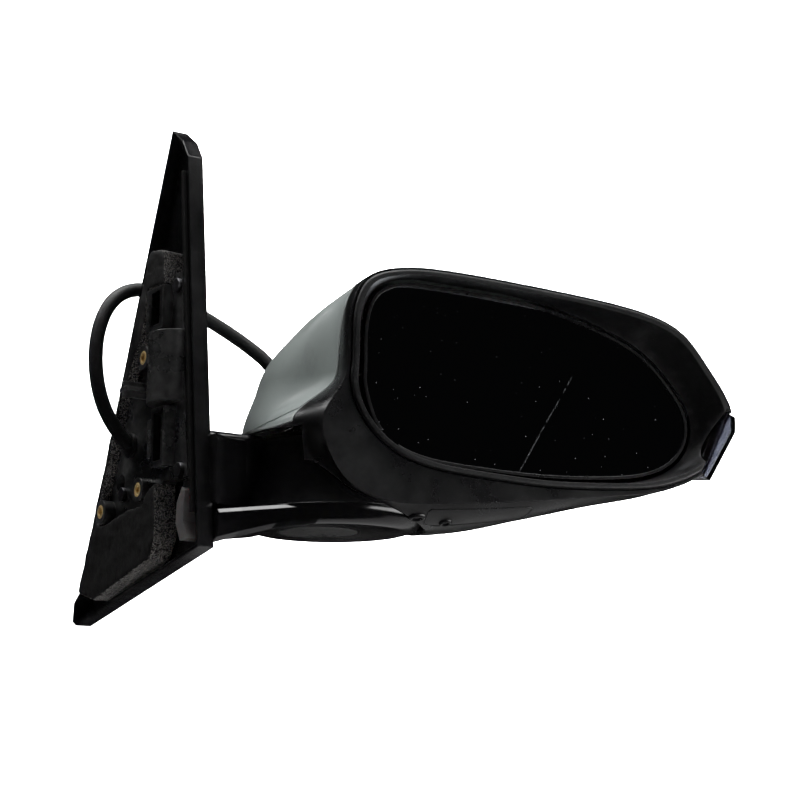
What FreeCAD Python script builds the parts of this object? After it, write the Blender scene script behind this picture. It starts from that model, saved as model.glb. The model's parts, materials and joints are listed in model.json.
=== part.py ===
import FreeCAD, Part
import math
import os
import re

# Right-hand door mirror: a triangular door plate with a short arm, and a folding head.
# Row frame: origin at the mouth of the upper brass insert, +X outboard, +Y forward, +Z up.
# Head frame: u outboard, w forward, v up, with its origin on the fold axis.

Vector = FreeCAD.Vector
Placement = FreeCAD.Placement
Rotation = FreeCAD.Rotation

SIZES = {
    # Fold axis and the head's turn about it, in degrees
    "fold_axis_x": 85.7,
    "fold_axis_y": -44.8,
    "head_turn": 14,
    # Door plate
    "rim_x": 8,
    "plate_x": 14.1,
    "outer_x": 16.5,
    "plate_wall": 2.4,
    "foam_face_x": 0.8,
    "foam_back_x": 13.8,
    "bracket_face_x": 6,
    "bracket_back_x": 13.6,
    # Brass inserts
    "insert_radius": 3.6,
    "insert_bore": 2.1,
    "upper_insert_length": 10.8,
    "rear_insert_length": 10.2,
    "front_insert_length": 9.6,
    "boss_radius": 6.2,
    "lower_rear_y": 2,
    "lower_rear_z": -67.7,
    "lower_front_y": 46,
    "lower_front_z": -73.6,
    # Arm
    "arm_rear_y": -43,
    "arm_front_y": -20,
    "arm_top_z": -42,
    "shelf_z": -79.4,
    "foot_bottom_z": -88.5,
    "foot_radius": 47,
    "tower_radius": 27,
    "cheek_top_radius": 40,
    "cheek_front_angle": 112,
    "cheek_rear_angle": 219,
    "low_cheek_rear_angle": 285,
    "low_cheek_top_z": -57,
    "notch_tilt": 7.4,
    "deck_hole_radius": 24,
    "arm_wall": 2.6,
    "plug_radius": 20,
    "plug_middle_x": 78,
    "plug_middle_y": -44.8,
    "fold_rearward": 40,
    "fold_forward": 35,
    # Pivot
    "post_radius": 12,
    "post_bore": 6,
    "post_top_z": 14,
    "flange_radius": 22,
    "flange_bottom_z": -58,
    "flange_top_z": -47,
    "ring_radius": 20,
    "ring_thickness": 4.6,
    "ring_gap": 0.4,
    "running_gap": 0.06,
    "hub_radius": 20,
    "hub_bottom_z": -39,
    "hub_top_z": -10,
    "washer_thickness": 1.6,
    "spring_radius": 17.2,
    "spring_discs": 6,
    "spring_cone": 1.6,
    "retainer_z": 9,
    # Head shell
    "face_w": -49.5,
    "dome_start_w": 0,
    "dome_depth": 42,
    "dome_slant": 0.14,
    "shell_wall": 2.6,
    "seam": 0.4,
    "cap_edge_w": -33,
    "front_cover_w": 6,
    "foot_clearance": 0.6,
    "lamp_rear_w": -47,
    "lamp_front_w": -20,
    "lens_wall": 1.8,
    "mouth_depth_w": -46.6,
    # Bezel and glass
    "lip_face_w": -51.5,
    "lip_back_w": -47.2,
    "lip_width": 4.8,
    "lip_inset": 1.4,
    "funnel_back_w": -38,
    "glass_face_w": -39,
    "glass_thickness": 2,
    "heater_thickness": 0.5,
    "carrier_thickness": 2.4,
    "carrier_lip": 0.9,
    "funnel_gap": 3,
    # Glass drive
    "pivot_u": 95,
    "pivot_v": -13,
    "pivot_w": -28.5,
    "rod_arm": 28,
    "rod_radius": 3.2,
    "rod_tip_radius": 4,
    "rod_tip_gap": 0.3,
    "rod_length": 25,
    "pin_radius": 2.4,
    "pin_reach": 12.5,
    "case_front_w": -20,
    "case_back_w": 4,
    "case_half_u": 39.6,
    "case_half_v": 39.6,
    "nut_radius": 9,
    "nut_thickness": 5,
    "motor_radius": 7.6,
    "motor_length": 26,
    "motor_w": -9,
    "worm_radius": 2.4,
    "worm_length": 8,
    "shaft_length": 6,
    # Harness
    "cord_radius": 3.75,
    "grommet_radius": 6.5,
}

# Closed outlines in the head's (u, v), from the middle of the inboard side, over the top.
RIM = [(-7.8, -15), (-7, 3), (-5.2, 20), (1.5, 32.5), (16, 38.8), (45, 40.3), (72.5, 38.5), (100, 36),
       (128, 33), (153, 29), (177.5, 19), (193, 0.5), (205, -23), (203, -38.5), (190, -52.5), (161, -65),
       (137, -67.6), (95, -68.4), (60, -65.7), (39, -63.2), (23, -58.9), (10.5, -52), (0.5, -42), (-6, -30)]
GLASS = [(4.6, -14), (4.8, 1), (6.3, 16.5), (11, 27), (21, 32.8), (45, 33.6), (70, 32), (97, 28.8),
         (120, 23), (140, 16), (158, 6.5), (173.5, -9), (182.5, -26), (181.5, -37), (172, -49), (155, -56),
         (134, -58.6), (97, -59.5), (64, -57.6), (44, -55.6), (29, -52.2), (19, -47), (11.5, -39), (6.6, -27)]
# The head's outline at its rear face and further forward, each as (w, outline)
HEAD_SECTIONS = [
    (-49.5, [(-8.3, -15), (-7.3, 3), (-5.2, 20), (1.5, 32.5), (16, 38.8), (45, 40.3), (72.5, 38.5), (100, 36),
             (128, 33), (153, 29), (177.5, 19), (193, 0.5), (205.5, -23), (203, -39), (190, -53), (161, -66),
             (137, -69.5), (95, -74), (60, -77), (36, -78.5), (11, -77.8), (-7, -70), (-16.5, -57), (-20, -38)]),
    (-38, [(-8.6, -13), (-7.6, 4), (-5.4, 20), (1.2, 33), (15, 39.6), (45, 42), (72, 40.4), (100, 37.8),
           (128, 34.6), (153, 30.2), (177, 19.5), (192.5, 1), (205, -23), (202, -38.5), (190, -52), (162, -65.5),
           (137, -70.5), (95, -78.5), (62, -82.5), (38, -84), (7, -81.5), (-11, -72), (-20.5, -58), (-27, -37.5)]),
    (-20, [(-17, -12), (-13.5, 4), (-8.5, 18), (-1, 31), (12, 40), (45, 43), (72, 41.5), (100, 39),
           (128, 35.6), (153, 31), (175, 20), (190, 2), (202.5, -22), (200, -37), (188, -51), (160, -65),
           (137, -70), (95, -80), (64, -85.5), (42, -88), (6, -88), (-18, -82), (-33, -66), (-40.5, -40)]),
    (0, [(-37.5, -14), (-31, 0), (-22, 11), (-9, 25), (10, 37), (45, 42), (72, 41), (100, 38),
         (128, 34), (150, 29), (170, 18), (184, 2), (196, -22), (194, -36), (183, -49), (158, -62.5),
         (136, -68), (95, -79), (64, -85.5), (42, -87.5), (6, -87.5), (-20, -82), (-37, -66), (-45.5, -40)]),
]
DOME_CENTRE = (66, -20)
DOME_STEPS = (0.26, 0.5, 0.7, 0.84, 0.93, 0.975, 0.994)
DOME_POWER = 2.4
# Degree 2 across the sections: a higher one ripples between uneven steps
LOFT_DEGREE = 2
# The painted cap's lower edge in (u, v), from the inboard lobe to the tip
CAP_EDGE = [(-60, -41.2), (-38, -41), (-27, -37.5), (-8.6, -26.6), (60, -27), (140, -31), (225, -27)]
# The lamp at the tip: its outline at its rear face and at its front end
LAMP_REAR = [(208.6, -23.2), (208.2, -31.5), (192, -58), (184.2, -53.5), (200.3, -19.5)]
LAMP_FRONT = [(203, -20), (201.5, -34), (186.5, -54), (179, -49), (196, -16)]
# Door plate and its parts in (Y, Z)
PLATE = [(-50, -101), (-28.5, 102), (-22, 112), (-10, 121), (87, -112), (94, -117), (95, -127), (90, -129.5)]
FOAM = [(-2, 56.9), (-18.4, 52.7), (-19.5, 34.6), (0.1, 36.5), (1.4, 21.4), (6.5, 10.9), (13, 3.2), (19.4, -7.8),
        (28.3, -17.9), (34.5, -31.7), (39.5, -45.8), (47.5, -63.9), (53.6, -72), (52, -80), (44, -81),
        (15.4, -76), (-0.9, -75.7), (-6.5, -70), (-14.9, -65.9), (-16.8, -94), (-10.8, -103.7), (53, -119),
        (74, -113.5), (50, -60), (26, -5), (12, 27)]
BRACKET = [(-29.4, 40), (-21, 40), (-20.6, 34), (-1, 35.4), (0.5, 21), (5.5, 10.4), (12, 2.6), (18.4, -8.2),
           (27.3, -18.4), (33.5, -32), (38.5, -46), (45.7, -64), (51.5, -72.4), (49.8, -79), (44, -79.8),
           (15.4, -75), (-1, -74.7), (-7.5, -69), (-15.9, -64.9), (-41, -66), (-36, -20), (-30.6, 30)]
# The harness, from the grommet round the door plate's front edge, then down ahead of the arm
HARNESS = [(4, 22.5, -41.5), (-3.4, 21.3, -35.5), (-13.5, 20, -21), (-17.5, 20.5, -1), (-16, 21, 19),
           (-7.5, 22.8, 36.2), (9, 27.2, 45.2), (33, 33.6, 43.5), (57, 38.5, 36.5), (78, 38, 27), (96, 34, 14),
           (103.5, 30.5, -6), (103, 28.6, -24), (101.5, 27.2, -40), (101.5, 27.2, -56)]
CONNECTOR_SIZE = (14, 10, 22)

doc = FreeCAD.newDocument("side_mirror")
sheet = doc.addObject("Spreadsheet::Sheet", "sizes")
for row, (alias, number) in enumerate(SIZES.items(), start=1):
    cell = "A%d" % row
    sheet.set(cell, str(number))
    sheet.setAlias(cell, alias)
doc.recompute()


def size(alias):
    """A driving dimension from the sheet."""
    return float(sheet.get(alias))


def bind(thing, prop, rule):
    """Bind one property to a rule written with the sheet's aliases."""
    text = re.sub(r"[a-z][a-z_]+", r"sizes.\g<0>", str(rule))
    thing.setExpression(prop, text)


def box(name, corner, span):
    """A box from its lowest corner and its three lengths, given as rules."""
    thing = doc.addObject("Part::Box", name)
    for axis, rule in zip("xyz", corner):
        bind(thing, "Placement.Base." + axis, rule)
    for prop, rule in zip(("Length", "Width", "Height"), span):
        bind(thing, prop, rule)
    return thing


TURNS = {"x": Rotation(Vector(0, 1, 0), 90), "y": Rotation(Vector(1, 0, 0), -90), "z": Rotation()}


def round_bar(name, radius, length, base, along="z"):
    """A cylinder from the middle of its first end, along one axis, sized by rules."""
    thing = doc.addObject("Part::Cylinder", name)
    thing.Placement = Placement(Vector(), TURNS[along])
    bind(thing, "Radius", radius)
    bind(thing, "Height", length)
    for axis, rule in zip("xyz", base):
        bind(thing, "Placement.Base." + axis, rule)
    return thing


def fuse(name, *things):
    """The union of several objects."""
    thing = doc.addObject("Part::MultiFuse", name)
    thing.Shapes = list(things)
    thing.Refine = True
    return thing


def cut(name, base, *tools):
    """One object less the tools."""
    thing = doc.addObject("Part::Cut", name)
    thing.Base = base
    thing.Tool = tools[0] if len(tools) == 1 else fuse(name + "_tools", *tools)
    thing.Refine = True
    return thing


def prism_body(name, outline, start, depth):
    """A PartDesign body: an outline drawn in (Y, Z), padded along X from start, both given as rules."""
    body = doc.addObject("PartDesign::Body", name)
    sketch = body.newObject("Sketcher::SketchObject", name + "_outline")
    plane = [f for f in body.Origin.OriginFeatures if f.Role == "YZ_Plane"][0]
    sketch.AttachmentSupport = [(plane, "")]
    sketch.MapMode = "FlatFace"
    bind(sketch, "AttachmentOffset.Base.z", start)
    corners = [Vector(y, z, 0) for y, z in outline]
    for first, second in zip(corners, corners[1:] + corners[:1]):
        sketch.addGeometry(Part.LineSegment(first, second), False)
    pad = body.newObject("PartDesign::Pad", name + "_pad")
    pad.Profile = sketch
    bind(pad, "Length", depth)
    body.Tip = pad
    return body


def rounded(name, base, radius, chosen):
    """A fillet on the edges that the chosen test picks."""
    doc.recompute()
    thing = doc.addObject("Part::Fillet", name)
    thing.Base = base
    picks = [i for i, edge in enumerate(base.Shape.Edges, start=1) if chosen(edge)]
    thing.Edges = [(i, radius, radius) for i in picks]
    return thing


def feature(name, shape):
    """A free-form piece whose shape is worked out below."""
    thing = doc.addObject("Part::Feature", name)
    thing.Shape = shape
    return thing


HEAD_PLACE = Placement(Vector(size("fold_axis_x"), size("fold_axis_y"), 0),
                       Rotation(Vector(0, 0, 1), -size("head_turn")))
nodes = []


def node(label, thing, in_head=False):
    """Keep one object as a sub-part of its own; a head piece is drawn in the head's frame."""
    if in_head and thing.TypeId in ("Part::Box", "Part::Cylinder"):
        group = doc.addObject("Part::Compound", label + "_piece")
        group.Links = [thing]
        thing = group
    if in_head:
        thing.Placement = HEAD_PLACE
    thing.Label = label
    nodes.append(thing)
    return thing


def largest(shape):
    """The biggest solid of a shape, without slivers."""
    return max(shape.Solids, key=lambda solid: solid.Volume)


def shifted(outline, distance):
    """A closed outline moved out by a distance, or in by a negative one, along its normals."""
    moved = []
    count = len(outline)
    for i, (u, v) in enumerate(outline):
        before = outline[i - 1]
        after = outline[(i + 1) % count]
        along_u = after[0] - before[0]
        along_v = after[1] - before[1]
        length = math.hypot(along_u, along_v)
        moved.append((u - along_v / length * distance, v + along_u / length * distance))
    return moved


def ring_wire(outline, w, slant=0):
    """A smooth closed wire through an outline of the head, at one depth, nearer the rear at the tip."""
    curve = Part.BSplineCurve()
    curve.interpolate(Points=[Vector(u, w - slant * (u - DOME_CENTRE[0]), v) for u, v in outline], PeriodicFlag=True)
    return Part.Wire(curve.toShape())


def loft(sections):
    """A smooth solid through (w, outline) pairs, or (w, outline, slant) where a section leans."""
    wires = [ring_wire(outline, w, *slant) for w, outline, *slant in sections]
    return Part.makeLoft(wires, True, False, False, LOFT_DEGREE)


def slab(outline, w_from, w_to):
    """A smooth outline made solid between two depths."""
    face = Part.Face(ring_wire(outline, w_from))
    return face.extrude(Vector(0, w_to - w_from, 0))


def zone(outline, w_from, w_to):
    """A straight-sided (u, v) outline made solid between two depths."""
    points = [Vector(u, w_from, v) for u, v in outline]
    face = Part.Face(Part.makePolygon(points + points[:1]))
    return face.extrude(Vector(0, w_to - w_from, 0))


# ---------------------------------------------------------------- door plate and arm

sail_outer = prism_body("sail_outer", PLATE, "rim_x", "outer_x - rim_x")
sail_inner_outline = shifted(PLATE, -size("plate_wall"))
sail_inner = prism_body("sail_inner", sail_inner_outline, "rim_x", "plate_x - rim_x")
wall_length = "fold_axis_x - outer_x + 1"
fin = box("fin", ("outer_x - 1", "arm_rear_y", "shelf_z"),
          (wall_length, "arm_front_y - arm_rear_y", "arm_top_z - shelf_z"))
tower = round_bar("tower", "tower_radius", "arm_top_z - shelf_z", ("fold_axis_x", "fold_axis_y", "shelf_z"))
root_profile = [(15.5, -53), (19, -50), (24, -46.6), (30, -44.2), (37, -43), (50, -42), (50, -21), (37, -20),
                (30, -18.8), (24, -16.4), (19, -13), (15.5, -10)]


def flat_wire(points, z):
    """A straight-sided closed (X, Y) wire at one height."""
    corners = [Vector(x, y, z) for x, y in points]
    return Part.makePolygon(corners + corners[:1])


def upright(points, z_low, z_high):
    """An (X, Y) outline made solid between two heights."""
    return Part.Face(flat_wire(points, z_low)).extrude(Vector(0, 0, z_high - z_low))


def bell(inset):
    """The arm's round body about the fold axis, as a face in (radius, z); it widens down to the foot."""
    top = size("arm_top_z") - inset
    reach = [(size("cheek_top_radius") - 3, top), (size("cheek_top_radius") - 0.9, top - 0.8),
             (size("cheek_top_radius"), top - 2.8), (41.2, -54), (43.2, -66), (45.6, -75),
             (size("foot_radius"), size("shelf_z"))]
    curve = Part.BSplineCurve()
    curve.interpolate([Vector(radius - inset, 0, z) for radius, z in reach])
    corners = [Vector(size("deck_hole_radius"), 0, size("shelf_z")), Vector(size("deck_hole_radius"), 0, top),
               Vector(reach[0][0] - inset, 0, top), Vector(reach[-1][0] - inset, 0, size("shelf_z"))]
    edges = [Part.LineSegment(corners[0], corners[1]).toShape(), Part.LineSegment(corners[1], corners[2]).toShape(),
             curve.toShape(), Part.LineSegment(corners[3], corners[0]).toShape()]
    return Part.Face(Part.Wire(edges))


def cheek(inset, start, end, top_z):
    """A stretch of the arm's round body, between two world angles and below one height."""
    solid = bell(inset).revolve(Vector(), Vector(0, 0, 1), end - start)
    solid.Placement = Placement(Vector(size("fold_axis_x"), size("fold_axis_y"), 0),
                                Rotation(Vector(0, 0, 1), start))
    return solid.common(Part.makeBox(240, 240, 100, Vector(-40, -160, top_z - 100)))


fin_soft = rounded("fin_soft", fin, 3.2, lambda e: abs(e.BoundBox.ZMin - size("arm_top_z")) < 0.01
                   and e.BoundBox.ZLength < 0.01 and e.BoundBox.YLength < 0.01)
tower_soft = rounded("tower_soft", tower, 2, lambda e: abs(e.BoundBox.ZMin - size("arm_top_z")) < 0.01
                     and e.BoundBox.ZLength < 0.01)
fin_root = feature("fin_root", upright(root_profile, size("shelf_z"), size("arm_top_z") - 3.5))
end_wall_angle = 3.5
top_z = size("arm_top_z")
low_z = size("low_cheek_top_z")
front_angle = size("cheek_front_angle")
rear_angle = size("cheek_rear_angle")
low_angle = size("low_cheek_rear_angle")
cheek_solid = feature("cheek_solid", cheek(0, front_angle, rear_angle, top_z + 1))
low_cheek_solid = feature("low_cheek_solid", cheek(0, rear_angle - 4, low_angle, low_z))
arm_solid = fuse("arm_solid", sail_outer, fin_soft, tower_soft, fin_root, cheek_solid,
                 low_cheek_solid)
fin_hollow = box("fin_hollow", ("plate_x - 1", "arm_rear_y + arm_wall", "shelf_z - 1"),
                 ("fold_axis_x - plate_x", "arm_front_y - arm_rear_y - 2 * arm_wall",
                  "arm_top_z - shelf_z - arm_wall + 1"))
tower_hollow = round_bar("tower_hollow", "tower_radius - arm_wall", "arm_top_z - shelf_z + 2",
                         ("fold_axis_x", "fold_axis_y", "shelf_z - 1"))
cheek_hollow = feature("cheek_hollow", cheek(size("arm_wall"), front_angle + end_wall_angle,
                                             rear_angle - end_wall_angle, top_z))
low_cheek_hollow = feature("low_cheek_hollow", cheek(size("arm_wall"), rear_angle, low_angle - end_wall_angle,
                                                     low_z - size("arm_wall")))
node("base_cover", cut("base_cover_cut", arm_solid, sail_inner, fin_hollow, tower_hollow, cheek_hollow,
                       low_cheek_hollow))

# The foot under the arm: a round shelf with a soft lower edge, and a root that flares to the door plate
foot_profile = [(0, -88.5), (35, -88.5), (42.5, -86.8), (46.2, -83.4), (47, -79.4), (0, -79.4)]


def foot_round():
    """The foot's round end, turned about the fold axis."""
    corner = [Vector(r, 0, z) for r, z in foot_profile]
    curve = Part.BSplineCurve()
    curve.interpolate(corner[1:5])
    edges = [Part.LineSegment(corner[0], corner[1]).toShape(), curve.toShape(),
             Part.LineSegment(corner[4], corner[5]).toShape(), Part.LineSegment(corner[5], corner[0]).toShape()]
    turned = Part.Face(Part.Wire(edges)).revolve(Vector(), Vector(0, 0, 1), 360)
    turned.translate(Vector(size("fold_axis_x"), size("fold_axis_y"), 0))
    return turned


def root_wire(x, y_rear, y_front, z_low, z_high, radius):
    """A rounded (Y, Z) section of the foot's root; its lower corners are softer than its upper ones."""
    soft = radius
    crisp = radius * 0.25
    points = [(y_rear + crisp, z_high), (y_front - crisp, z_high), (y_front, z_high - crisp),
              (y_front, z_low + soft), (y_front - soft * 0.3, z_low + soft * 0.3), (y_front - soft, z_low),
              (y_rear + soft, z_low), (y_rear + soft * 0.3, z_low + soft * 0.3), (y_rear, z_low + soft),
              (y_rear, z_high - crisp)]
    corners = [Vector(x, y, z) for y, z in points]
    return Part.makePolygon(corners + corners[:1])


root_sections = [(16.9, -54, -6, -98.5, -82.5, 8), (28, -57, -4, -95, -81.2, 8), (42, -68, -3, -91.2, -80.2, 8),
                 (58, -82, -5, -89, -79.6, 6)]
foot_root = Part.makeLoft([root_wire(*section) for section in root_sections], True, True)
foot = foot_round().fuse(foot_root)
foot_top = upright([(0, -110), (140, -110), (140, 20), (0, 20)], size("shelf_z"), size("shelf_z") + 8)
foot = foot.cut(foot_top).removeSplitter()
plug_seat = Part.makeCylinder(size("plug_radius") + 0.3, 1.4, Vector(size("plug_middle_x"),
                              size("plug_middle_y"), size("foot_bottom_z") - 0.2))
foot_hollow = Part.makeCylinder(38, 8, Vector(size("fold_axis_x"), size("fold_axis_y"), -85.4))
node("arm_lower_cover", feature("arm_lower_cover", foot.cut(plug_seat).cut(foot_hollow)))
node("pivot_plug", round_bar("pivot_plug", "plug_radius", 1.1, ("plug_middle_x", "plug_middle_y", "foot_bottom_z")))

# Bracket: a ribbed plate behind the foam, bosses for the inserts and a beam that carries the pivot
bracket_plate = prism_body("bracket_plate", BRACKET, "bracket_face_x", "bracket_back_x - bracket_face_x")
boss_depth = "bracket_back_x"
boss_upper = round_bar("boss_upper", "boss_radius", boss_depth, (0, 0, 0), "x")
boss_rear = round_bar("boss_rear", "boss_radius", boss_depth, (0, "lower_rear_y", "lower_rear_z"), "x")
boss_front = round_bar("boss_front", "boss_radius", boss_depth, (0, "lower_front_y", "lower_front_z"), "x")
slot_box = box("slot_box", (0.4, -20.5, 12), (13, 19, 22.5))
barrel = round_bar("barrel", 13.5, 36, (8, -20, -27), "z")
lower_box = box("lower_box", (-0.6, -27, -59), (14, 14, 30))
side_rib = box("side_rib", (1.5, -8.6, -53), (12, 4, 20))
beam = box("beam", ("bracket_back_x - 1", "arm_rear_y + arm_wall + 1", -70),
           ("fold_axis_x - bracket_back_x + 1", "arm_front_y - arm_rear_y - 2 * arm_wall - 2", 12))
pad_disc = round_bar("pad_disc", "flange_radius", 12, ("fold_axis_x", "fold_axis_y", -70))
bracket_all = fuse("bracket_all", bracket_plate, boss_upper, boss_rear, boss_front, slot_box, barrel, lower_box,
                   side_rib, beam, pad_disc)
insert_seats = [round_bar("seat_" + name, "insert_radius", name + "_insert_length + 0.2", (-0.2, y, z), "x")
                for name, y, z in (("upper", 0, 0), ("rear", "lower_rear_y", "lower_rear_z"),
                                   ("front", "lower_front_y", "lower_front_z"))]
slot = box("slot", (-1, -16.5, 15), (9, 9, 17))
box_recess = box("box_recess", (-2, -24, -56), (7, 8, 24))
oval = round_bar("oval", 5.2, 16, (-1, 35, -60), "x")
grommet_hole = round_bar("grommet_hole", "grommet_radius", 12, (4, 22.5, -41.5), "x")
wire_way = round_bar("wire_way", 7, 14, ("fold_axis_x", "fold_axis_y", -71))
back_trim = box("back_trim", (13.6, -60, -58), (90, 60, 130))
low_trim = box("low_trim", (13.6, -60, -160), (90, 60, 90))
front_trim = box("front_trim", (13.6, -17, -160), (90, 60, 320))
node("base_bracket", cut("base_bracket_cut", bracket_all, *insert_seats, slot, box_recess, oval, grommet_hole,
                         wire_way, back_trim, low_trim, front_trim))


def insert_group():
    """Three threaded brass inserts, mouths at X = 0."""
    inserts = []
    places = (("upper", 0, 0), ("rear", size("lower_rear_y"), size("lower_rear_z")),
              ("front", size("lower_front_y"), size("lower_front_z")))
    for name, y, z in places:
        outer = Part.makeCylinder(size("insert_radius"), size(name + "_insert_length"), Vector(0, y, z), Vector(1, 0, 0))
        bore = Part.makeCylinder(size("insert_bore"), 30, Vector(-5, y, z), Vector(1, 0, 0))
        inserts.append(outer.cut(bore))
    return Part.makeCompound(inserts)


node("brass_inserts", feature("brass_inserts", insert_group()))
pin_web = box("pin_web", (-14, -11.5, -20.1), (20, 8, 2))
pin_web_up = box("pin_web_up", (-14, -8.5, -23.1), (20, 2, 8))
node("locating_pin", fuse("locating_pin_fuse", pin_web, pin_web_up))
node("harness_grommet", round_bar("harness_grommet", "grommet_radius", "bracket_back_x - 4", (4, 22.5, -41.5), "x"))
node("foam_seal", prism_body("foam_seal", FOAM, "foam_face_x", "foam_back_x - foam_face_x"))

# A thin rubber lip along the door plate's rear edge, and a clip in its lower corner
gasket_line = [Vector(6.4, -45.6, -84), Vector(6.4, -42, -50), Vector(6.4, -38.2, -14), Vector(6.4, -34.1, 24),
               Vector(6.4, -30.1, 62), Vector(6.4, -26.7, 94)]


def gasket():
    """A narrow strip that follows the rear edge of the door plate."""
    strips = []
    for low, high in zip(gasket_line, gasket_line[1:]):
        corners = [low, low + Vector(0, 2.2, 0), high + Vector(0, 2.2, 0), high]
        strips.append(Part.Face(Part.makePolygon(corners + corners[:1])).extrude(Vector(7.4, 0, 0)))
    return strips[0].multiFuse(strips[1:]).removeSplitter()


node("door_gasket", feature("door_gasket", gasket()))
clip_outline = [(-41, -73), (-37.5, -71), (-32.5, -78), (-31.5, -88), (-36.5, -97), (-44, -97), (-39.5, -88), (-40, -79)]
node("corner_clip", prism_body("corner_clip", clip_outline, 5, 8.8))


def screw_group(places, radius, length, head_radius, head_height, direction):
    """Identical screws; each place is the underside of a head."""
    screws = []
    for place in places:
        shank = Part.makeCylinder(radius, length, place, direction)
        head = Part.makeCylinder(head_radius, head_height, place, direction * -1)
        screws.append(shank.fuse(head).removeSplitter())
    return Part.makeCompound(screws)


plate_screw_places = [Vector(6, -26.5, 33), Vector(6, -34, -62), Vector(6, 30, -66)]
node("plate_screws", feature("plate_screws", screw_group(plate_screw_places, 1.8, 7, 3.6, 2, Vector(1, 0, 0))))

# ---------------------------------------------------------------- pivot

axis_base = ("fold_axis_x", "fold_axis_y")
post_flange = round_bar("post_flange", "flange_radius", "flange_top_z - flange_bottom_z",
                        (*axis_base, "flange_bottom_z"))
post_stem = round_bar("post_stem", "post_radius", "post_top_z - flange_bottom_z", (*axis_base, "flange_bottom_z"))
post_way = round_bar("post_way", "post_bore", 90, (*axis_base, -65))
node("pivot_post", cut("pivot_post_cut", fuse("post_solid", post_flange, post_stem), post_way))

ring_hole = round_bar("ring_hole", "post_radius + 0.5", 8, (*axis_base, -48))
lower_ring = round_bar("lower_ring", "ring_radius", "ring_thickness", (*axis_base, "flange_top_z"))
dimples = [doc.addObject("Part::Sphere", "dimple_%d" % i) for i in range(3)]
for i, dimple in enumerate(dimples):
    angle = math.radians(90 - size("head_turn") + 120 * i)
    bind(dimple, "Radius", 1.9)
    dimple.Placement = Placement(Vector(size("fold_axis_x") + 16 * math.cos(angle),
                                        size("fold_axis_y") + 16 * math.sin(angle), -41.2), Rotation())
node("lower_detent_ring", cut("lower_ring_cut", lower_ring, ring_hole, *dimples))
flange_bolts = [Vector(size("fold_axis_x") + 17 * math.cos(math.radians(a)),
                       size("fold_axis_y") + 17 * math.sin(math.radians(a)), -70) for a in (30, 150, 270)]
bolt_group = screw_group(flange_bolts, 2.2, 18, 4, 2.6, Vector(0, 0, 1))
node("pivot_bolts", feature("pivot_bolts", bolt_group))

def fold_spring():
    """A stack of cone-shaped disc springs round the post, facing in turn, pressed down by their retainer."""
    near = size("post_radius") + 0.6
    far = size("spring_radius")
    low = size("hub_top_z") + size("washer_thickness")
    pitch = (size("retainer_z") - low) / size("spring_discs")
    cone = size("spring_cone")
    discs = []
    for i in range(int(size("spring_discs"))):
        near_lift, far_lift = (0, cone) if i % 2 == 0 else (cone, 0)
        start = low + pitch * i
        corners = [Vector(near, 0, start + near_lift), Vector(far, 0, start + far_lift),
                   Vector(far, 0, start + far_lift + pitch - cone), Vector(near, 0, start + near_lift + pitch - cone)]
        disc = Part.Face(Part.makePolygon(corners + corners[:1])).revolve(Vector(), Vector(0, 0, 1), 360)
        disc.translate(Vector(size("fold_axis_x"), size("fold_axis_y"), 0))
        discs.append(disc)
    return Part.makeCompound(discs)


node("fold_spring", feature("fold_spring", fold_spring()))
retainer_disc = round_bar("retainer_disc", "spring_radius", 2.2, (*axis_base, "retainer_z"))
retainer_hole = round_bar("retainer_hole", "post_radius", 8, (*axis_base, 6))
node("spring_retainer", cut("retainer_cut", retainer_disc, retainer_hole))

# ---------------------------------------------------------------- head frame and drive, in the head's frame

hub_outer = round_bar("hub_outer", "hub_radius", "hub_top_z - hub_bottom_z", (0, 0, "hub_bottom_z"))
frame_web = box("frame_web", (-13, 4.6, -37), (74, 4.4, 43))
frame_plate = box("frame_plate", (56, 4.6, -47), (80, 4.4, 62))
frame_rib_low = box("frame_rib_low", (15, -7.5, -35), (38, 14, 4))
frame_rib_high = box("frame_rib_high", (15, -7.5, -17), (38, 14, 4))
spring_room = round_bar("spring_room", 19.2, 30, (0, 0, "hub_top_z"))
hub_bore = round_bar("hub_bore", "post_radius + running_gap", 60, (0, 0, -50))
frame_ports = [round_bar("frame_port_%d" % i, 9, 12, (u, 2, v), "y")
               for i, (u, v) in enumerate(((76, -30), (76, 2), (115, -30), (115, 2)))]
frame_solid = fuse("frame_solid", hub_outer, frame_web, frame_plate, frame_rib_low, frame_rib_high)
head_frame = node("head_frame", cut("head_frame_cut", frame_solid, hub_bore, spring_room, *frame_ports), True)

upper_ring = round_bar("upper_ring", "ring_radius", "hub_bottom_z - flange_top_z - ring_thickness - ring_gap",
                       (0, 0, "flange_top_z + ring_thickness + ring_gap"))
upper_ring_hole = round_bar("upper_ring_hole", "post_radius + 0.5", 12, (0, 0, -48))
ball_seats = []
for i in range(3):
    angle = math.radians(90 + 120 * i)
    ball_seats.append(round_bar("ball_seat_%d" % i, 1.7, 9, (16 * math.cos(angle), 16 * math.sin(angle), -45)))
node("upper_detent_ring", cut("upper_ring_cut", upper_ring, upper_ring_hole, *ball_seats), True)
washer_disc = round_bar("washer_disc", 18.5, "washer_thickness", (0, 0, "hub_top_z"))
washer_hole = round_bar("washer_hole", "post_radius + 0.3", 6, (0, 0, "hub_top_z - 2"))
node("thrust_washer", cut("washer_cut", washer_disc, washer_hole), True)


def detent_balls():
    """Three steel balls in the upper ring, resting over the lower ring's dimples."""
    balls = []
    for i in range(3):
        angle = math.radians(90 + 120 * i)
        balls.append(Part.makeSphere(1.6, Vector(16 * math.cos(angle), 16 * math.sin(angle), -40.7)))
    return Part.makeCompound(balls)


node("detent_balls", feature("detent_balls", detent_balls()), True)

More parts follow.
